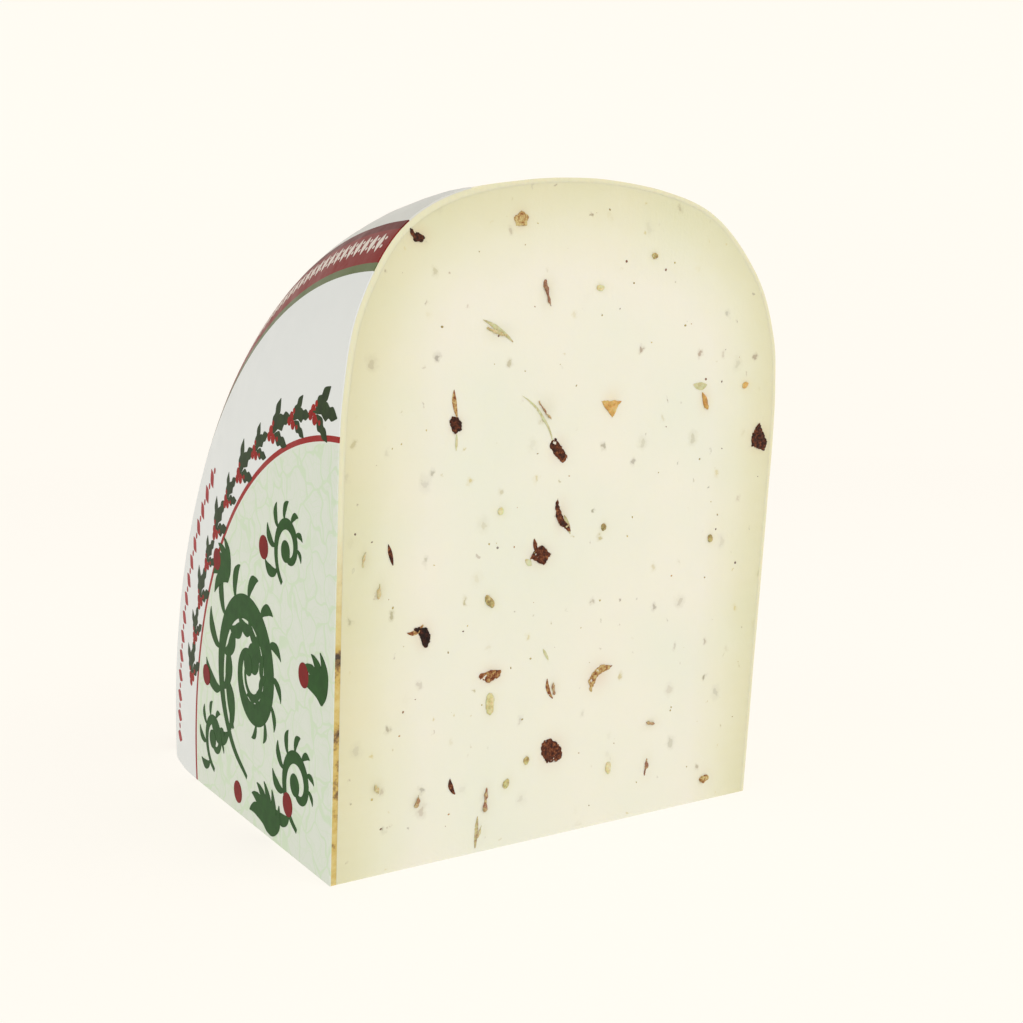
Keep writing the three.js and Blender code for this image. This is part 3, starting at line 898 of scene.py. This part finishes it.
rows_tree = bpy.data.node_groups.new("motif_along_an_arc", "GeometryNodeTree")
named_input(rows_tree, "Motif", "NodeSocketGeometry")
ROW_INPUTS = {
    name: named_input(rows_tree, name, kind, value) for name, kind, value in [
        ("Radius", "NodeSocketFloat", 88.0), ("From Angle", "NodeSocketFloat", 0.0),
        ("Sweep", "NodeSocketFloat", 1.0), ("Pitch", "NodeSocketFloat", 10.0),
        ("Every Second Smaller By", "NodeSocketFloat", 0.0), ("Tilt", "NodeSocketFloat", 0.0),
        ("Seed", "NodeSocketInt", 1), ("Ink", "NodeSocketMaterial", None),
    ]
}
rows_tree.interface.new_socket(name="Row", in_out="OUTPUT", socket_type="NodeSocketGeometry")
given = rows_tree.nodes.new("NodeGroupInput").outputs
arc = add_node(rows_tree, "GeometryNodeCurveArc", {
    "Resolution": 256, "Radius": given["Radius"], "Start Angle": given["From Angle"],
    "Sweep Angle": given["Sweep"]})
stations = add_node(rows_tree, "GeometryNodeCurveToPoints", {
    "Curve": arc.outputs[0], "Length": given["Pitch"]}, mode="LENGTH")
where = add_node(rows_tree, "ShaderNodeSeparateXYZ", {
    "Vector": rows_tree.nodes.new("GeometryNodeInputPosition").outputs[0]})
angle = add_node(rows_tree, "ShaderNodeMath", {
    0: where.outputs["Y"], 1: where.outputs["X"]}, operation="ARCTAN2")
least = add_node(rows_tree, "ShaderNodeMath", {0: given["Tilt"], 1: -1.0}, operation="MULTIPLY")
sway = add_node(rows_tree, "FunctionNodeRandomValue", {
    "Min": least.outputs[0], "Max": given["Tilt"], "Seed": given["Seed"]}, data_type="FLOAT")
facing = add_node(rows_tree, "ShaderNodeMath", {0: angle.outputs[0], 1: sway.outputs["Value"]})
spin = add_node(rows_tree, "ShaderNodeCombineXYZ", {"Z": facing.outputs[0]})
odd = add_node(rows_tree, "ShaderNodeMath", {
    0: rows_tree.nodes.new("GeometryNodeInputIndex").outputs[0], 1: 2.0}, operation="MODULO")
less = add_node(rows_tree, "ShaderNodeMath", {
    0: odd.outputs[0], 1: given["Every Second Smaller By"]}, operation="MULTIPLY")
scale = add_node(rows_tree, "ShaderNodeMath", {0: 1.0, 1: less.outputs[0]}, operation="SUBTRACT")
flat_scale = add_node(rows_tree, "ShaderNodeCombineXYZ", {
    "X": scale.outputs[0], "Y": scale.outputs[0], "Z": 1.0})
placed = add_node(rows_tree, "GeometryNodeInstanceOnPoints", {
    "Points": stations.outputs["Points"], "Instance": given["Motif"],
    "Rotation": spin.outputs[0], "Scale": flat_scale.outputs[0]})
real = add_node(rows_tree, "GeometryNodeRealizeInstances", {"Geometry": placed.outputs[0]})
inked = add_node(rows_tree, "GeometryNodeSetMaterial", {
    "Geometry": real.outputs[0], "Material": given["Ink"]})
add_node(rows_tree, "NodeGroupOutput", {0: inked.outputs[0]})


def ink_row(name, colour, second, strips, radius, from_angle, to_angle, pitch, smaller, tilt):
    """A motif of strips, drawn as mm outwards and mm along, on an arc between two angles in
    degrees. Every second one is smaller by a share, and each is tilted by up to tilt radians."""
    matter = ink_matter(name, colour, second)
    points, faces = joined([stroke(rows, i) for i, rows in enumerate(strips)])
    motif = bpy.data.meshes.new(name + "_motif")
    motif.from_pydata(points, [], faces)
    values = dict(zip(ROW_INPUTS.values(), (
        radius, math.radians(from_angle), math.radians(to_angle - from_angle), pitch, smaller,
        tilt, len(name), matter)))
    row = evaluated(name, motif, rows_tree, values, matter)
    flat = triples(row.vertices, "co")
    row.vertices.foreach_set("co", on_label(flat + PRINT_CENTRE).ravel())
    shape = bmesh.new()
    shape.from_mesh(row)
    bmesh.ops.recalc_face_normals(shape, faces=shape.faces)
    shape.to_mesh(row)
    shape.free()
    laid_on_label(new_object(name, row))


WREATH_LEAVES = [
    [(0.2, -1.2, 0.4), (1.7, 0.4, 3.2), (2.7, 1.6, 2.0), (3.7, 2.7, 2.6), (5.0, 4.4, 0.2)],
    [(-0.2, -0.8, 0.4), (-1.7, 0.8, 3.0), (-2.6, 1.8, 1.8), (-3.4, 2.8, 2.2), (-4.6, 4.2, 0.2)],
    [(0.3, 1.0, 0.4), (0.6, 3.0, 3.4), (0.5, 4.6, 2.0), (0.3, 6.0, 2.5), (-0.2, 8.0, 0.2)],
    [(0.2, -2.4, 0.4), (0.3, 0.4, 0.7), (0.3, 2.0, 0.4)],
]
ink_row("wreath_leaves", "1F3016", "2C401C", WREATH_LEAVES, 83.0, 17.0, 88.5, 9.6, 0.2, 0.12)
ink_row("wreath_berries", "860C06", "9C180C", [
    disc(0.9, -2.2, 1.05), disc(-0.9, -1.7, 1.0), disc(0.1, -3.5, 0.95), disc(1.9, -0.8, 0.6),
    disc(-1.6, 0.4, 0.5), [(-1.4, -0.3, 0.3), (0.0, -1.6, 0.6), (0.2, -4.0, 0.3)],
], 83.0, 17.0, 88.5, 9.6, 0.1, 0.12)
ink_row("outer_trim", "8E161A", "A63438", [
    [(-2.4, -0.4, 0.3), (0.0, 0.0, 2.9), (2.4, 0.4, 0.3)], disc(0.0, 2.6, 0.7),
], 94.3, 3.0, 47.5, 5.2, 0.0, 0.0)
ink_row("band_lozenges", "D9CFC6", "E2DAD2", [
    [(-2.0, 0.0, 0.1), (0.0, 0.0, 1.7), (2.0, 0.0, 0.1)], disc(0.9, 1.4, 0.36),
    disc(-0.9, 1.4, 0.36),
], 113.6, 0.2, 93.2, 2.8, 0.0, 0.0)

# The herbs and peppers in the paste: dried pepper flakes, amber and dark red, pepper seeds, and
# stalks and leaf scraps of herbs. They were stirred into the curd, and the knife cut or tore them.

# The skin's step in m, and how deep a flake goes under the cut and stands above it in mm.
VOXEL = 0.13 * MM
FLAKE_DEEP, FLAKE_PROUD = 1.6, 0.16
# The larger flakes on the upright cut: length and width in mm, tilt in degrees from the wheel's
# axis, how far the ends bend aside in mm, corners, and paleness from charred (0) to tan (1).
FLAKES = {
    "pepper_flake_01": (6.4, 4.6, -42, 0.3, 9, 0.42),
    "pepper_flake_02": (5.0, 3.6, -8, 0.0, 5, 0.4),
    "pepper_flake_03": (6.4, 4.4, -65, 0.0, 5, 0.34),
    "pepper_flake_04": (6.2, 2.4, -52, 0.5, 9, 0.38),
    "pepper_flake_05": (4.8, 2.2, -58, -0.8, 7, 0.18),
    "pepper_flake_06": (3.6, 2.6, -50, 0.0, 6, 0.28),
    "pepper_flake_07": (7.4, 1.3, -62, 0.9, 9, 0.4),
    "pepper_flake_08": (4.8, 2.3, 8, 0.5, 7, 0.65),
    "pepper_flake_09": (7.0, 1.9, 45, -1.8, 9, 0.85),
    "pepper_flake_10": (3.6, 1.6, -20, 0.6, 7, 0.3),
    "pepper_flake_11": (3.6, 3.2, 10, 0.0, 5, 0.95),
    "yellow_pepper_flake_01": (5.4, 5.2, -92, 0.0, 3, 0.6),
}
# The other chips lie partly under the paste, so the part that shows is slimmer: this share of the
# node's own width.
SLIMMER = {"pepper_flake": 1.0, "yellow_pepper_flake": 0.9, "seed": 0.95, "herb_stalk": 0.55}


def on_upright(points):
    """Points given by mm along the axis, mm out from it and mm above the upright cut's own
    surface, in the row frame."""
    x, r, above = np.array(points, float).T
    rise = above + lift[grid_index(x, r)]
    return on_wheel(x, r, WEDGE_ANGLE) + rise[:, None] * cut_outward * MM


def torn_outline(name):
    """A flake's outline, as mm along the axis and out from it: its corners stand at uneven
    distances round its node's middle."""
    long, wide, tilt, bend, corners, _ = FLAKES[name]
    middle_x, middle_r = chip_place(name)
    draw = random.Random(name)
    c, s = math.cos(math.radians(tilt)), math.sin(math.radians(tilt))
    outline = []
    for k in range(corners):
        a = 2 * math.pi * (k + draw.uniform(-0.25, 0.25)) / corners
        reach = draw.uniform(0.85, 1.15)
        u, v = reach * math.cos(a), reach * math.sin(a)
        ahead, aside = long / 2 * u, wide / 2 * v + bend * (u * u - 0.5)
        outline.append((middle_x + c * ahead - s * aside, middle_r + s * ahead + c * aside))
    return outline


def rough_shape(name):
    """The plain solid that a chip starts from: a prism on its torn outline, or its CAD node."""
    shape = bmesh.new()
    if name in FLAKES:
        outline = torn_outline(name)
        rings = [
            [shape.verts.new(p) for p in on_upright([(x, r, above) for x, r in outline])]
            for above in (-FLAKE_DEEP, FLAKE_PROUD)
        ]
        for i in range(len(outline)):
            j = (i + 1) % len(outline)
            shape.faces.new((rings[0][i], rings[0][j], rings[1][j], rings[1][i]))
        shape.faces.new(rings[0][::-1])
        shape.faces.new(rings[1])
        bmesh.ops.recalc_face_normals(shape, faces=shape.faces)
        bmesh.ops.triangulate(shape, faces=shape.faces)
    else:
        shape.from_mesh(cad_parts[name].data)
        bmesh.ops.remove_doubles(shape, verts=shape.verts, dist=SAME_POINT)
        co = np.array([v.co for v in shape.verts])
        flat = co * (1, 1 if on_standing(name) else 0, 0 if on_standing(name) else 1)
        flat -= flat.mean(0)
        _, _, axes = np.linalg.svd(flat, full_matrices=False)
        aside = (flat @ axes[1])[:, None] * axes[1]
        for vert, shift in zip(shape.verts, aside * (SLIMMER[kind_of(name)] - 1)):
            vert.co += Vector(shift)
    rough = bpy.data.meshes.new(name + "_rough")
    shape.to_mesh(rough)
    shape.free()
    return rough


def crumpled(name, matter, coarse, fine):
    """A chip with a fine skin, crumpled: coarse and fine are each the height and the size of the
    folds, in mm."""
    holder = new_object(name + "_holder", rough_shape(name))
    skinned = holder.modifiers.new("skin", "REMESH")
    skinned.mode = "VOXEL"
    skinned.voxel_size = VOXEL
    mesh = plain_mesh(holder, matter)
    co, normals = triples(mesh.vertices, "co"), triples(mesh.vertex_normals, "vector")
    push = np.zeros(len(co))
    for fold, size in (coarse, fine):
        push += fold * np.array([noise.noise(Vector(p / MM / size)) for p in co])
    co += normals * push[:, None] * MM
    co[:, 2] = np.maximum(co[:, 2], floor_z)
    mesh.vertices.foreach_set("co", co.ravel())
    mesh.shade_smooth()
    paleness = FLAKES[name][-1] if name in FLAKES else random.Random(name).uniform(0.2, 0.85)
    add_attribute(mesh, "paleness", "FLOAT", np.full(len(co), paleness))
    piece = new_object(name + "_cut", mesh)
    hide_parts(name)
    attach(piece, "root")


# How far the blotches shift a chip's own paleness either way.
TONE_SPREAD = 0.32


def herb_matter(name, stops, grain, roughness, **values):
    """Dried plant matter: its colour changes in blotches of grain mm, and its skin is wrinkled."""
    matter, tree, shader = new_material(name, Roughness=roughness, IOR=1.5, **values)
    place = add_node(tree, "ShaderNodeTexCoord").outputs["Object"]
    blotches = add_node(tree, "ShaderNodeTexNoise", {
        "Vector": place, "Scale": 1 / (grain * MM), "Detail": 4.0, "Roughness": 0.7}).outputs["Fac"]
    pale = add_node(tree, "ShaderNodeAttribute", attribute_name="paleness").outputs["Fac"]
    uneven_tone = add_node(tree, "ShaderNodeMapRange", {
        "Value": blotches, "From Min": 0.3, "From Max": 0.7,
        "To Min": -TONE_SPREAD, "To Max": TONE_SPREAD})
    tone = add_node(tree, "ShaderNodeMath", {0: pale, 1: uneven_tone.outputs[0]})
    colour = set_ramp(add_node(tree, "ShaderNodeValToRGB", {"Fac": tone.outputs[0]}), stops)
    tree.links.new(colour, shader.inputs["Base Color"])
    wrinkles = add_node(tree, "ShaderNodeTexNoise", {
        "Vector": place, "Scale": 4 / (grain * MM), "Detail": 3.0}).outputs["Fac"]
    bump = add_node(tree, "ShaderNodeBump", {
        "Strength": 0.6, "Distance": 0.0002, "Height": wrinkles}).outputs[0]
    tree.links.new(bump, shader.inputs["Normal"])
    return matter


# Each kind's material, and its coarse and its fine folds. Red pepper dries dark and leathery, and
# its flesh is nearly matt. Yellow pepper and seed husks are thinner and glossier, and let light
# through. Stalks are woody and pale.
KINDS = {
    "pepper_flake": (
        herb_matter("dried_red_pepper_flesh", [
            (0.0, "150803"), (0.25, "33150A"), (0.45, "5C2A12"), (0.65, "8A5230"),
            (0.85, "B4925A"), (1.0, "CDBB84")], 0.8, 0.62, Specular_IOR_Level=0.25),
        (0.25, 1.1), (0.2, 0.45)),
    "yellow_pepper_flake": (
        herb_matter("dried_yellow_pepper_flesh", [
            (0.0, "8E5E22"), (0.3, "B5843C"), (0.6, "CFA658"), (0.85, "DCC080"),
            (1.0, "E2D09A")], 1.2, 0.45, Subsurface_Weight=0.4, Subsurface_Scale=0.001),
        (0.25, 1.2), (0.1, 0.45)),
    "seed": (
        herb_matter("pepper_seed_husk", [
            (0.0, "7E6A3C"), (0.25, "A8965C"), (0.5, "CBBF86"), (0.75, "D8D0A0"),
            (1.0, "E0DAB4")], 0.8, 0.42, Subsurface_Weight=0.5, Subsurface_Scale=0.0015),
        (0.25, 1.3), (0.08, 0.45)),
    "herb_stalk": (
        herb_matter("dried_herb_stalk", [
            (0.0, "7A4A36"), (0.25, "9C7458"), (0.5, "BDAC7C"), (0.75, "CEC496"),
            (1.0, "D8D1AC")], 0.9, 0.55, Subsurface_Weight=0.3, Subsurface_Scale=0.001),
        (0.4, 1.0), (0.14, 0.4)),
}
for name in sorted(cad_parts):
    if kind_of(name) in KINDS:
        crumpled(name, *KINDS[kind_of(name)])

# Torn fibres and hairs beside the larger flakes: strands of pepper flesh and of stalk that the
# knife pulled out and left flat on the upright cut.
FIBRE_THICKER = 1.8
# Each strand's start in mm along the axis and out from it, its heading in degrees, its length and
# width in mm, its bend as a share of its length, and its paleness.
FIBRES = {
    "pepper_fibres": ("pepper_flake", [
        (22.5, 84.5, 100, 5.0, 0.9, 0.05, 0.8), (41, 58.5, 105, 3.0, 0.9, 0.0, 0.5),
        (25, 13, 110, 3.5, 1.0, 0.1, 0.45), (46.5, 29, 110, 4.5, 0.9, 0.1, 0.7),
        (10.5, 58.5, 105, 4.0, 0.8, 0.0, 0.4), (17, 47, 200, 3.5, 1.0, 0.2, 0.75),
    ]),
    "olive_hairs": ("herb_stalk", [
        (43.5, 79.5, 130, 11.5, 0.5, -0.1, 0.75), (47, 65.5, -68, 4.0, 0.9, 0.0, 0.55),
        (22.5, 81.5, -90, 3.0, 0.5, 0.0, 0.8), (38.5, 57.5, -40, 2.0, 1.2, 0.0, 0.9),
        (33.5, 98, 150, 7.5, 0.8, -0.05, 0.7), (77, 90.5, 0, 3.5, 1.6, -0.1, 0.75),
        (45, 37, 120, 2.8, 0.6, 0.0, 0.85), (30, 1, 88, 6.5, 0.9, 0.0, 0.5),
    ]),
}
for name, (kind, strands) in FIBRES.items():
    strips = [leaf(*strand[:-1]) for strand in strands]
    points, faces = joined([stroke(rows, 2 * layer) for layer, rows in enumerate(strips)])
    raised = np.array(points) * (1, 1, FIBRE_THICKER)
    fibres = new_piece(name, on_upright(raised), faces, KINDS[kind][0])
    x, r, _ = wheel_place(fibres.data)
    away = [np.hypot(x[:, None] - rows[:, 0], r[:, None] - rows[:, 1]).min(1) for rows in strips]
    own = np.argmin(away, 0)
    add_attribute(fibres.data, "paleness", "FLOAT", [strands[i][-1] for i in own])
    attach(fibres, "root")

# The smallest specks: ground pepper and herb dust that was stirred in with the rest, and that the
# knife laid bare on both cuts. They are up to about half a millimetre across.
SPECK_SMALLEST, SPECK_LARGEST = 0.06 * MM, 0.28 * MM
# How many rows and columns at the cut's edges hold no speck.
BARE_ROWS, BARE_COLUMNS = (2, 4), 12
specks_tree = bpy.data.node_groups.new("specks_on_a_cut", "GeometryNodeTree")
named_input(specks_tree, "Cut", "NodeSocketGeometry")
SPECK_INPUTS = {
    name: named_input(specks_tree, name, kind, value) for name, kind, value in [
        ("Per Square Metre", "NodeSocketFloat", 9000.0),
        ("Smallest", "NodeSocketFloat", SPECK_SMALLEST),
        ("Largest", "NodeSocketFloat", SPECK_LARGEST), ("Seed", "NodeSocketInt", 1),
        ("Matter", "NodeSocketMaterial", None),
    ]
}
specks_tree.interface.new_socket(name="Specks", in_out="OUTPUT", socket_type="NodeSocketGeometry")
given = specks_tree.nodes.new("NodeGroupInput").outputs
spots = add_node(specks_tree, "GeometryNodeDistributePointsOnFaces", {
    "Mesh": given["Cut"], "Density": given["Per Square Metre"], "Seed": given["Seed"]})
tint = add_node(specks_tree, "FunctionNodeRandomValue", {"Seed": 11}, data_type="FLOAT")
tinted = add_node(specks_tree, "GeometryNodeStoreNamedAttribute", {
    "Geometry": spots.outputs["Points"], "Name": "tint", "Value": tint.outputs["Value"]},
    data_type="FLOAT", domain="POINT")
grain = add_node(specks_tree, "GeometryNodeMeshIcoSphere", {"Radius": 1.0, "Subdivisions": 2})
wide = add_node(specks_tree, "FunctionNodeRandomValue", {
    "Min": given["Smallest"], "Max": given["Largest"], "Seed": 12}, data_type="FLOAT")
narrow = add_node(specks_tree, "FunctionNodeRandomValue", {
    "Min": 0.45, "Seed": 13}, data_type="FLOAT")
across_width = add_node(specks_tree, "ShaderNodeMath", {
    0: wide.outputs["Value"], 1: narrow.outputs["Value"]}, operation="MULTIPLY")
thick = add_node(specks_tree, "ShaderNodeMath", {
    0: wide.outputs["Value"], 1: 0.3}, operation="MULTIPLY")
speck_scale = add_node(specks_tree, "ShaderNodeCombineXYZ", {
    "X": wide.outputs["Value"], "Y": across_width.outputs[0], "Z": thick.outputs[0]})
twirl = add_node(specks_tree, "FunctionNodeRandomValue", {
    "Max": 2 * math.pi, "Seed": 14}, data_type="FLOAT")
about_own = add_node(specks_tree, "ShaderNodeCombineXYZ", {"Z": twirl.outputs["Value"]})
twirled = add_node(specks_tree, "FunctionNodeRotateRotation", {
    "Rotation": spots.outputs["Rotation"], "Rotate By": about_own.outputs[0],
}, rotation_space="LOCAL")
strewn = add_node(specks_tree, "GeometryNodeInstanceOnPoints", {
    "Points": tinted.outputs[0], "Instance": grain.outputs["Mesh"],
    "Rotation": twirled.outputs[0], "Scale": speck_scale.outputs[0]})
real = add_node(specks_tree, "GeometryNodeRealizeInstances", {"Geometry": strewn.outputs[0]})
coated = add_node(specks_tree, "GeometryNodeSetMaterial", {
    "Geometry": real.outputs[0], "Material": given["Matter"]})
add_node(specks_tree, "NodeGroupOutput", {0: coated.outputs[0]})

# Ground spice: dry grains from ochre to dark brown, each in one tone.
speck_matter, tree, shader = new_material("ground_pepper_and_herbs", Roughness=0.5)
speck_tint = add_node(tree, "ShaderNodeAttribute", attribute_name="tint").outputs["Fac"]
speck_colour = set_ramp(add_node(tree, "ShaderNodeValToRGB", {"Fac": speck_tint}), [
    (0.0, "C9B878"), (0.3, "A89A5C"), (0.5, "8E7A48"), (0.66, "B58A4A"), (0.8, "7A4A30"),
    (0.9, "5C3A2A"), (1.0, "8A8478")])
tree.links.new(speck_colour, shader.inputs["Base Color"])
# Each cut's grid, its specks a square metre and its seed.
SPECKS = [("upright_specks", upright, 9000.0, 3), ("standing_specks", standing, 6000.0, 4)]
for name, cut, density, seed in SPECKS:
    bare = bpy.data.meshes.new(name + "_bare")
    inner_rows = cut.reshape(ROWS, COLUMNS, 3)[
        BARE_ROWS[0]:-BARE_ROWS[1], BARE_COLUMNS:-BARE_COLUMNS]
    bare.from_pydata(
        [tuple(p) for p in inner_rows.reshape(-1, 3)], [], grid_faces(*inner_rows.shape[:2]))
    values = dict(zip(SPECK_INPUTS.values(), (
        density, SPECK_SMALLEST, SPECK_LARGEST, seed, speck_matter)))
    specks = new_object(name, evaluated(name, bare, specks_tree, values, speck_matter))
    specks.data.shade_smooth()
    co = triples(specks.data.vertices, "co")
    co[:, 2] = np.maximum(co[:, 2], floor_z)
    specks.data.vertices.foreach_set("co", co.ravel())
    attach(specks, "root")

low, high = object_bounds()
